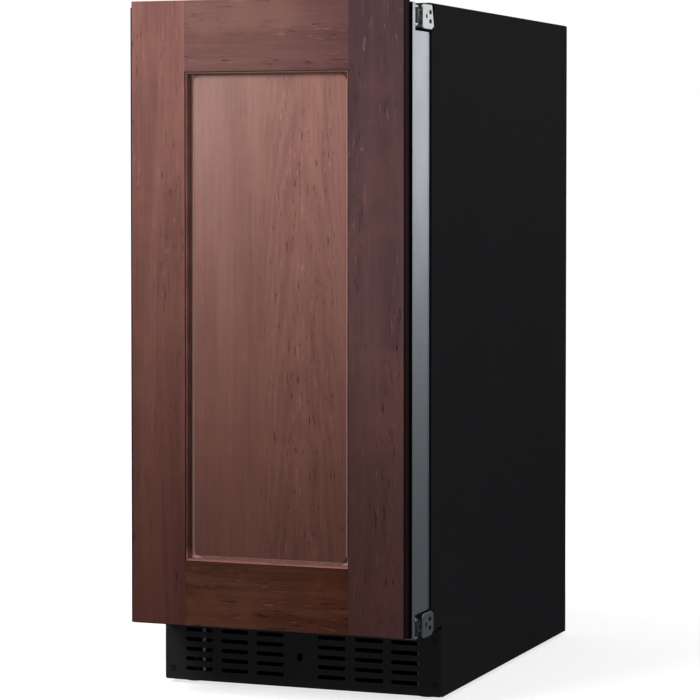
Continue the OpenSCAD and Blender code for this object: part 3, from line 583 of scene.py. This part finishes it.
def build_boards():
    """Stiles and rails with a groove for the panel in their inner edges."""
    x0, x1, z0, z1 = opening()
    left_low, left_high = corners("stile_left")
    front, back = left_low[1], left_high[1]
    groove_front, groove_back, slack = front + 13.3 * MM, front + 17.2 * MM, 0.3 * MM
    groove_depth = x0 - corners("centre_panel")[0][0] + slack
    outside = np.array((left_low[0], corners("stile_right")[1][0], left_low[2], corners("rail_top")[1][2]))
    joint_gap, easing, nearly_sharp, near = 0.06 * MM, 1.2 * MM, 0.1, 0.5 * MM

    def board(outer, inner):
        """Section of a board: a rectangle from outer to inner with the panel's groove in its inner edge."""
        floor = inner - math.copysign(groove_depth, inner - outer)
        return [(outer, front), (inner, front), (inner, groove_front), (floor, groove_front),
                (floor, groove_back), (inner, groove_back), (inner, back), (outer, back)]

    def ease(middle, along):
        """Outer edges of the whole panel are eased; joints and the opening's edge stay nearly sharp."""
        off = np.abs(outside - (middle[0], middle[0], middle[2], middle[2]))
        return 1.0 if min(off) < near else nearly_sharp

    for side, end, inner in (("left", 0, x0), ("right", 1, x1)):
        node = "stile_" + side
        ends = corners(node)
        shell = extrude(board(ends[end][0], inner), "z", ends[0][2], ends[1][2])
        piece(side + "_stile_board", [shell], "door", f"wood_{side}_stile", (node,), easing, weigh=ease)
    for side, end, inner in (("top", 1, z1), ("bottom", 0, z0)):
        node = "rail_" + side
        section = [(y, z) for z, y in board(corners(node)[end][2], inner)]
        shell = extrude(section, "x", x0 + joint_gap, x1 - joint_gap)
        piece(side + "_rail_board", [shell], "door", f"wood_{side}_rail", (node,), easing, weigh=ease)


def build_bead():
    """Moulded bead round the opening: a narrow ledge, then a quarter ellipse that falls to the panel."""
    near, ledge, far = 0.2, 1.1, 3.7
    ledge_y, brow_y, foot_y, back_y = 3.4, 1.1, 8.6, 13.2
    swing = np.linspace(0.0, QUARTER, 9)
    inward = ledge + (far - ledge) * np.sin(swing)
    curve = np.column_stack((inward, foot_y - (foot_y - brow_y) * np.cos(swing)))
    profile = np.vstack(([[near, ledge_y], [ledge, ledge_y]], curve, [[far, back_y], [near, back_y]])) * MM
    profile[:, 1] += corners("stile_left")[0][1]
    mitre = 0.05 * MM
    piece("opening_bead", [ring_sweep(profile, *opening(), mitre, 1)], "door", "wood_top_rail",
          paint=BEAD_WOOD)


def build_panel():
    """Raised centre panel: a thin tongue for the groove and a proud field with a quarter-round lip."""
    x0, x1, z0, z1 = opening()
    low, high = corners("centre_panel")
    left_gap, right_gap, low_gap, top_gap = 6.6 * MM, 5.6 * MM, 5.6 * MM, 3.2 * MM
    field = (x0 + left_gap, x1 - right_gap, z0 + low_gap, z1 - top_gap)
    # painted highlight on the raised field's rounded lip
    paint_rim_highlight(PAINTS["wood_panel"], *field)
    tongue_y = corners("stile_left")[0][1] + 13.5 * MM
    corner, tongue_corner, lip = 11.5 * MM, 0.3 * MM, 1.3 * MM
    tongue = outline(low[0], high[0], low[2], high[2], tongue_corner)
    outlines = [tongue, tongue, outline(*field, corner)]
    depths = [high[1], tongue_y, tongue_y]
    for angle in np.linspace(0.0, QUARTER, 6):
        inset = lip * (1.0 - math.cos(angle))
        inner = np.array(field) + inset * np.array((1, -1, 1, -1))
        outlines.append(outline(*inner, corner - inset))
        depths.append(low[1] + lip * (1.0 - math.sin(angle)))
    piece("raised_centre_panel", [stack_y(outlines, depths)], "door", "wood_panel", ("centre_panel",))


# ---------------------------------------------------------------- door

def build_door():
    """Silver door box with its folded front edge and rear hem, bellows gasket and liner."""
    softened("door_frame", 0.5 * MM, 3)
    low, high = corners("door_frame")
    bite, proud, rounding = 0.4 * MM, 0.35 * MM, 0.3 * MM
    fold_front = low[1] - 3.4 * MM
    fold_back = corners("hinge_brackets")[0][1] - 0.2 * MM
    strips = []
    for side, x in ((-1, low[0]), (1, high[0])):
        skin = sorted((x - side * bite, x + side * proud))
        strips.append(box_shell((skin[0], fold_front, low[2]), (skin[1], fold_back, high[2])))
    piece("door_front_fold", strips, "door", "silver_door", edge=rounding)

    inset = 0.2 * MM
    hem_front, hem_back = high[1] - 3.2 * MM, high[1] + inset
    over_hinge, under_hinge = low[2] + 28.4 * MM, high[2] - 34.6 * MM
    hem = [
        box_shell((high[0] - bite, hem_front, over_hinge), (high[0] + proud, hem_back, under_hinge)),
        box_shell((low[0] - proud, hem_front, low[2] + inset), (low[0] + bite, hem_back, high[2] - inset)),
    ]
    piece("door_rear_hem", hem, "door", "silver_door", edge=rounding)
    # painted shade: the door's front face behind the wood is made near-black
    shade_door_front(PAINTS["silver_door"], low[1], high[0])

    seal_low, seal_high = corners("door_gasket")
    free_height, bend = 8.5, 8 * MM
    profile = np.array([
        (2.0, 0.0), (14.0, 0.0), (14.0, 1.2), (11.0, 1.6), (11.2, 3.0), (13.2, 4.2), (13.6, 6.0), (12.6, 7.6),
        (10.5, free_height), (4.0, free_height), (1.4, 7.8), (0.2, 6.4), (0.6, 4.6), (3.0, 3.2), (3.2, 1.8),
        (0.4, 1.2), (0.4, 0.4),
    ]) * MM
    profile[:, 1] = seal_low[1] + profile[:, 1] * (seal_high[1] - seal_low[1]) / (free_height * MM)
    seal = ring_sweep(profile, seal_low[0], seal_high[0], seal_low[2], seal_high[2], bend)
    piece("bellows_gasket", [seal], "door", "gasket_rubber", ("door_gasket",), crease=60.0)
    softened("door_liner", 0.5 * MM)


def build_hinges():
    """Hinge plates, arms and brackets with rounded stamped edges. Each plate has two adjusting screws sunk
    in wells, and a slot; the wells are matt black, painted shade in the holes. The arms are darkened as
    painted shade."""
    stamped = 0.35 * MM
    softened("hinge_plates", stamped)
    softened("hinge_brackets", stamped)
    arms = softened("hinge_arms", stamped)
    # painted shade: the arms take the darker steel
    arms.data.materials[0] = ARM_SHADE_STEEL.material
    softened("cabinet_screws", 0.2 * MM)
    low, high = corners("hinge_plates")
    cup = [(0, 0.6), (1.3, 0.6), (1.5, 1.5), (2.0, 1.7), (2.4, 1.4), (2.5, 0.9), (2.5, 0.2), (0, 0.2)]
    plate_half = 15.0
    screw_x, screw_y, screw_lifts = 187.6, 86.0, (-5.3, 5.9)
    well_y, well_z, well_r, well_floor, well_face = 4.4, 2.7, 2.6, 187.4 * MM, 189.1 * MM
    slot_y0, slot_y1, slot_drop, slot_rise, slot_r = 69.7, 74.9, 2.4, 3.4, 2.5
    screws = []
    hollows = []
    for height in (low[2] / MM + plate_half, high[2] / MM - plate_half):
        for lift in screw_lifts:
            z = height + lift
            screws.append(lathe(np.array(cup) * MM, row((screw_x, screw_y, z)), "x", 32))
            hollows.append(outline(screw_y - well_y, screw_y + well_y, z - well_z, z + well_z, well_r))
        hollows.append(outline(slot_y0, slot_y1, height - slot_drop, height + slot_rise, slot_r))
    piece("hinge_adjusting_screws", screws, "cabinet", "black_screws")
    wells = [extrude((hollow - (HALF_DEPTH, 0)) * MM, "x", well_floor, well_face) for hollow in hollows]
    # painted shade: matt black wells where the holes are in shade
    piece("hinge_wells", wells, "cabinet", "black_screws", paint=WELL_PAINTED_SHADE)


# ---------------------------------------------------------------- cabinet

def build_cabinet():
    """Black wrapper with its bent top edges, rear panel, front frame, liner, and grille with its strips."""
    low, high = corners("outer_shell")
    fold_zone, hair = 2.0 * MM, 0.1 * MM

    def bend(middle, along):
        """The folded sheet's outer edges along the top have the whole radius, its inner ones 0.6 of it."""
        lengthwise = abs(along[1]) > 0.5 * np.linalg.norm(along)
        at_top = middle[2] > high[2] - fold_zone
        at_side = min(abs(middle[0] - low[0]), abs(middle[0] - high[0])) < fold_zone
        outer = middle[2] > high[2] - hair and abs(abs(middle[0]) - high[0]) < hair
        if lengthwise and at_top and at_side:
            return 1.0 if outer else 0.6
        return 0.0

    softened("outer_shell", 3.0 * MM, 5, weigh=bend)
    softened("rear_panel", 0.3 * MM)
    softened("front_frame", 0.6 * MM)
    softened("toe_grille", 0.25 * MM)
    softened("inner_liner", 0.5 * MM)
    width, foot, head, sheet = 4.6 * MM, 15 * MM, 85 * MM, 1.2 * MM
    y = corners("toe_grille")[0][1] + 1.7 * MM
    lefts = (-137.4 * MM, 156.4 * MM)
    strips = [box_shell((x, y, foot), (x + width, y + sheet, head)) for x in lefts]
    piece("grille_back_strips", strips, "cabinet", "galvanised_steel", edge=0.2 * MM)


def build_feet():
    """Levelling feet: a rubber pad with a rounded rim, and a threaded stud of stacked ridges."""
    pad = [(0, 0), (12, 0), (14.2, 0.5), (15, 1.6), (14.6, 3.2), (12.5, 4.3), (5, 4.5), (0, 4.5)]
    crest, thread_depth, thread_start, pitch = 3.95, 0.45, 8.0, 1.0
    ridge = np.arange(0, 30)
    thread = np.column_stack((crest - thread_depth * (ridge % 2), thread_start + pitch * ridge))
    stud = np.vstack(([[0, 4.4], [4.0, 4.4], [4.0, 7.5]], thread, [[3.0, 38.0], [0, 38.0]]))
    for corner in ("fl", "fr", "rl", "rr"):
        node = "levelling_foot_" + corner
        low, high = corners(node)
        centre = ((low[0] + high[0]) / 2, (low[1] + high[1]) / 2, low[2])
        shells = [lathe(np.array(pad) * MM, centre), lathe(stud * MM, centre, sides=32)]
        piece(node + "_turned", shells, BODY_OF[node], "rubber_black", (node,))


# ---------------------------------------------------------------- machinery

def row(points):
    """Millimetres from the wooden panel's front, the middle and the floor, as metres in the frame."""
    return (np.asarray(points, float) - (0.0, HALF_DEPTH, 0.0)) * MM


def build_compressor():
    """Drawn-steel shell on a foot plate: a rounded base, a weld seam that stands proud, and a domed top."""
    radius, dome_bend, dome_base = 62, 42, 140
    plate_low, plate_high = 29 * MM, 32 * MM
    swing = np.linspace(0.0, QUARTER, 14)
    dome = np.column_stack((radius - dome_bend * (1 - np.cos(swing)), dome_base + dome_bend * np.sin(swing)))
    seam = [(62, 103.4), (63.3, 103.6), (64.4, 104.4), (64.6, 106), (64.4, 107.6), (63.3, 108.4), (62, 108.6)]
    base = [(0, 32.2), (44, 32.2), (52, 33.4), (58, 36.6), (61.2, 41), (radius, 46)]
    profile = np.vstack((base, seam, dome, [[0, dome_base + dome_bend]])) * MM
    foot = (outline(2, 148, 492, 628, 14) - (0, HALF_DEPTH)) * MM
    shells = [lathe(profile, row((75, 560, 0)), sides=96), extrude(foot, "z", plate_low, plate_high)]
    piece("compressor_shell", shells, "cabinet", "compressor_black", ("compressor",))


def build_grommets():
    """Ribbed rubber mounts under the compressor's foot plate, with a waist where the plate sits."""
    crest, waist, pitch = 11, 9.4, 3.2
    ribs = [(0, 13.8), (10.2, 13.8), (crest, 14.6)]
    for k in range(3):
        ribs += [(waist, 16.2 + k * pitch), (crest, 17.8 + k * pitch)]
    ribs += [(crest, 28), (10.4, 28.7), (6, 28.8), (6, 32.2), (8.6, 32.4), (9, 33.2), (8.4, 35.2), (6, 36),
             (0, 36)]
    grommets = [lathe(np.array(ribs) * MM, row((x, y, 0)), sides=40) for x in (14, 136) for y in (504, 616)]
    piece("compressor_grommets", grommets, "cabinet", "rubber_black", ("compressor_mounts",))


def build_drier():
    """Copper filter drier, the same at both ends: a necked tube that widens to its body, and its clip."""
    half_way = 110
    lower = [(0, 46), (2.5, 46), (2.5, 57), (3.6, 60), (5.2, 62.5), (7.4, 66), (8.7, 69.5), (9, 73), (9, 86),
             (8.5, 87), (9, 88)]
    upper = [(r, 2 * half_way - z) for r, z in lower[::-1]]
    shells = [lathe(np.array(lower + upper) * MM, row((165, 450, 0)), sides=48)]
    shells.append(box_shell(row((172, 446, 100)), row((187.4, 454, 104))))
    piece("drier_body", shells, "cabinet", "copper", ("filter_drier",))


def build_pipes():
    """Refrigerant lines and the water hose, along the routes of the CAD pieces."""
    runs = [
        (3, [(75, 560, 180), (75, 560, 225), (-8, 560, 225), (-8, 415, 225), (-8, 415, 40), (-16, 415, 40)]),
        (2.5, [(165, 450, 172), (165, 450, 240), (30, 450, 240), (30, 415, 240), (30, 415, 184),
               (-16, 415, 184)]),
        (2, [(165, 450, 47), (165, 450, 42), (165, 667, 42), (165, 667, 432), (110, 667, 432),
             (110, 667, 444)]),
        (3, [(110, 594, 450), (110, 667, 450), (96, 667, 450), (96, 667, 150), (96, 632, 150),
             (96, 622, 150)]),
    ]
    bend, hose_bend, hose_radius = 9 * MM, 10 * MM, 5 * MM
    pipes = [tube(rounded_path(row(points), bend), radius * MM) for radius, points in runs]
    piece("copper_pipes", pipes, "cabinet", "copper", ("refrigerant_lines",))
    hose = row([(-84, 640, 90), (-70, 640, 90), (-70, 667, 90), (-70, 667, 765), (-20, 667, 765),
                (-20, 452, 765)])
    shell = tube(rounded_path(hose, hose_bend), hose_radius, 20)
    piece("fill_hose", [shell], "cabinet", "tube_white", ("fill_tube",))


def build_coil(node, x0, x1, y0, y1, z0, z1, pitch, rows):
    """A serpentine of tube with round return bends through a stack of thin fins between two end plates."""
    margin, fin, plate_margin, plate, lap = 6, 0.6, 2, 1.2, 4
    tube_radius = 3.5 * MM
    spacing = (z1 - z0) / rows
    middle = (y0 + y1) / 2
    turns = []
    for k in range(rows):
        ends = (x0, x1) if k % 2 == 0 else (x1, x0)
        turns += [(end, middle, z0 + (k + 0.5) * spacing) for end in ends]
    serpentine = tube(rounded_path(row(turns), spacing / 2 * MM, 10), tube_radius)
    places = np.arange(x0 + margin, x1 - margin + 0.1, pitch)
    fins = [box_shell(row((x, y0, z0)), row((x + fin, y1, z1))) for x in places]
    for x in (x0 + plate_margin, x1 - plate_margin - plate):
        fins.append(box_shell(row((x, y0 - 1, z0 - lap)), row((x + plate, y1 + 1, z1 + lap))))
    piece(node + "_fins", fins, "cabinet", "aluminium_fins", (node,))
    piece(node + "_tube", [serpentine], "cabinet", "copper")


def build_fan(node, x, y, z, radius, hub, depth):
    """Five twisted blades on a hub with a rounded nose."""
    blades, pitch, thickness = 5, 0.6, 0.9 * MM
    nose = np.array([(0, 0.2), (hub - 3, 0.2), (hub - 0.8, 1.2), (hub, 3.2), (hub, depth), (hub - 1.5, depth),
                     (0, depth)])
    shells = [lathe(nose * MM, row((x, y, z)), "y", 48)]
    centre = row((x, y + depth / 2, z))
    chord = 0.26 * radius * MM
    for k in range(blades):
        start = k * 2 * math.pi / blades
        shells.append(blade(centre, (hub - 1) * MM, radius * MM, chord, pitch, thickness, start))
    piece(node + "_moulding", shells, BODY_OF[node], "fan_plastic", (node,), crease=50.0)


def build_knob():
    """Fluted knob with a pale pointer line."""
    node = "temperature_knob"
    shape = [(0, 100), (10.6, 100), (12.2, 100.5), (13, 101.8), (13, 111.4), (12.4, 113), (3, 113), (3, 130),
             (0, 130)]
    flutes, flute_depth = 20, 0.9 * MM
    turned = lathe(np.array(shape) * MM, row((-70, 0, 791)), "y", 120, flutes, flute_depth)
    piece("fluted_knob", [turned], BODY_OF[node], SLOT_OF[node], (node,))
    pointer = box_shell(row((-70.7, 99.8, 794)), row((-69.3, 100.4, 801.5)))
    piece("knob_pointer", [pointer], BODY_OF[node], "tube_white", edge=0.15 * MM)


def build_bail():
    """Bent wire of the feeler arm."""
    route = row([(30, 196, 705), (30, 214, 705), (66, 214, 640), (66, 412, 640), (30, 412, 705),
                 (30, 428, 705)])
    bend, radius = 6 * MM, 1.6 * MM
    wire = tube(rounded_path(route, bend), radius, 16)
    piece("bail_wire", [wire], BODY_OF["shutoff_arm"], "bail_wire", ("shutoff_arm",))


# Edge radius, in millimetres, of each inner node that keeps its CAD shape.
SOFT_EDGES = {
    "base_pan": 0.3, "machine_bay_panel": 0.3, "foam_insulation": 0.5, "door_foam": 0.5,
    "panel_fasteners": 0.3, "compressor_terminal_box": 1.5, "condenser_fan_shroud": 0.5,
    "condenser_fan_motor": 0.8, "drip_tray": 0.8, "water_valve": 0.6, "water_inlet_fitting": 0.5,
    "power_inlet": 0.6, "control_board_box": 0.6, "evaporator_cover": 0.5, "evaporator_fan_motor": 0.8,
    "ice_mould": 0.5, "stripper": 0.4, "drive_housing": 1.2, "drive_cover": 0.6, "gear_motor": 0.5,
    "motor_pinion": 0.15, "ejector_shaft": 0.0, "fill_cup": 0.7, "ice_bin": 1.0, "ice_scoop": 0.5,
    "control_housing": 1.0, "light_lens": 1.0, "rocker_switch": 0.6,
}


def build_machinery():
    """Everything inside: coils, fans, knob, pipes and compressor as their own meshes, the rest softened."""
    build_compressor()
    build_grommets()
    build_drier()
    build_pipes()
    build_coil("condenser_coil", -172, -18, 400, 430, 28, 196, 6, 7)
    build_coil("evaporator_coil", -112, 112, 556, 590, 365, 540, 8, 6)
    build_fan("condenser_fan", -95, 446, 112, 60.5, 17, 18)
    build_fan("evaporator_fan", 0, 554.5, 612, 44, 13, 14)
    build_knob()
    build_bail()
    for node, width in SOFT_EDGES.items():
        softened(node, width * MM, 2, clamp=True)


# ---------------------------------------------------------------- stage

def build_floor():
    """Pale floor whose glow is 0.72 under the machine and rises smoothly to 1 about a metre out."""
    paint = Paint("pale_floor", (0.4, 0.4, 0.4), specular_ior_level=0.0, emission_strength=1.0)
    away = paint.axis(0) * paint.axis(0) + paint.axis(1) * paint.axis(1)
    shaded, near, far = 0.72, 0.2, 1.1
    paint.set("Emission Color", paint.grey(shaded + away.between(near, far) * (1.0 - shaded)))
    mesh = bpy.data.meshes.new("studio_floor")
    reach = 14.0
    level = CAD_BOX[0][2] - 0.2 * MM
    ends = ((-reach, -reach), (reach, -reach), (reach, reach), (-reach, reach))
    mesh.from_pydata([(x, y, level) for x, y in ends], [], [(0, 1, 2, 3)])
    floor = bpy.data.objects.new("studio_floor", mesh)
    mesh.materials.append(paint.material)
    bpy.context.scene.collection.objects.link(floor)
    floor.visible_glossy = False
    floor.visible_diffuse = False


def build_world():
    """White surroundings for the camera, and a faint cool fill for everything else."""
    world = bpy.data.worlds.new("white_room")
    world.use_nodes = True
    tree = world.node_tree
    tree.nodes.clear()
    choose = tree.nodes.new("ShaderNodeMixShader")
    fill = ((0.82, 0.9, 1.0, 1), 0.07)
    seen = ((1, 1, 1, 1), 1.0)
    for k, (colour, strength) in enumerate((fill, seen), 1):
        shade = tree.nodes.new("ShaderNodeBackground")
        shade.inputs["Color"].default_value = colour
        shade.inputs["Strength"].default_value = strength
        tree.links.new(shade.outputs[0], choose.inputs[k])
    rays = tree.nodes.new("ShaderNodeLightPath")
    tree.links.new(rays.outputs["Is Camera Ray"], choose.inputs[0])
    output = tree.nodes.new("ShaderNodeOutputWorld")
    tree.links.new(choose.outputs[0], output.inputs["Surface"])
    bpy.context.scene.world = world


def build_lamps():
    """Soft studio light: one from above, one on the door, and weaker ones that fill or are reflected."""
    lamp("overhead_softbox", (0.0, 0.3, 3.4), (0.0, 0.3, 0.0), 4.0, 4.0, 90.0)
    lamp("key_softbox", (-0.75, -1.75, 1.55), (0.0, -0.34, 0.85), 0.9, 0.9, 57.5, shine=False)
    lamp("veil_card", (-1.75, -3.2, 1.6), (-0.1, -0.34, 0.9), 1.0, 1.5, 7.0, (0.85, 0.93, 1.0), diffuse=False)
    lamp("low_fill", (0.7, -2.6, 0.25), (0.0, -0.2, 0.05), 1.2, 0.4, 24.0, shine=False)
    lamp("side_card", (1.35, 1.75, 1.15), (0.15, -0.2, 0.6), 1.5, 1.3, 8.5, diffuse=False)
    lamp("side_fill", (4.5, 0.6, 0.9), (0.1, 0.3, 0.45), 3.0, 3.0, 95.0, shine=False)


def lamp(name, place, aim, width, height, power, tint=(1, 1, 1), diffuse=True, shine=True):
    """A rectangular soft light at place, turned towards aim. Without diffuse it only shows as a reflection,
    and without shine never as one."""
    light = bpy.data.lights.new(name, "AREA")
    light.shape = "RECTANGLE"
    light.size = width
    light.size_y = height
    light.energy = power
    light.color = tint
    made = bpy.data.objects.new(name, light)
    made.location = place
    made.visible_diffuse = diffuse
    made.visible_glossy = shine
    made.rotation_mode = "QUATERNION"
    made.rotation_quaternion = (Vector(aim) - Vector(place)).to_track_quat("-Z", "Y")
    bpy.context.scene.collection.objects.link(made)


def build_camera():
    """Long lens, a little right of and just below the machine's top, looking slightly down."""
    lens = bpy.data.cameras.new("studio_camera")
    lens.sensor_width = 36.0
    lens.lens = 143.6
    lens.shift_y = -0.1224
    lens.clip_start = 0.1
    lens.clip_end = 60.0
    made = bpy.data.objects.new("studio_camera", lens)
    aside, before, height = 1.3123, 3.1482, 0.661
    made.location = (aside, CAD_BOX[0][1] - before, height)
    turn = math.radians(20.801)
    dip = math.radians(1.9)
    way = Vector((-math.sin(turn) * math.cos(dip), math.cos(turn) * math.cos(dip), -math.sin(dip)))
    made.rotation_mode = "QUATERNION"
    made.rotation_quaternion = way.to_track_quat("-Z", "Y")
    bpy.context.scene.collection.objects.link(made)
    bpy.context.scene.camera = made


build_camera()
build_floor()
build_world()
build_lamps()
build_boards()
build_bead()
build_panel()
build_door()
build_hinges()
build_cabinet()
build_feet()
build_machinery()
for node in SLOT_OF:
    dress(node)

bpy.context.scene.view_settings.view_transform = "Standard"
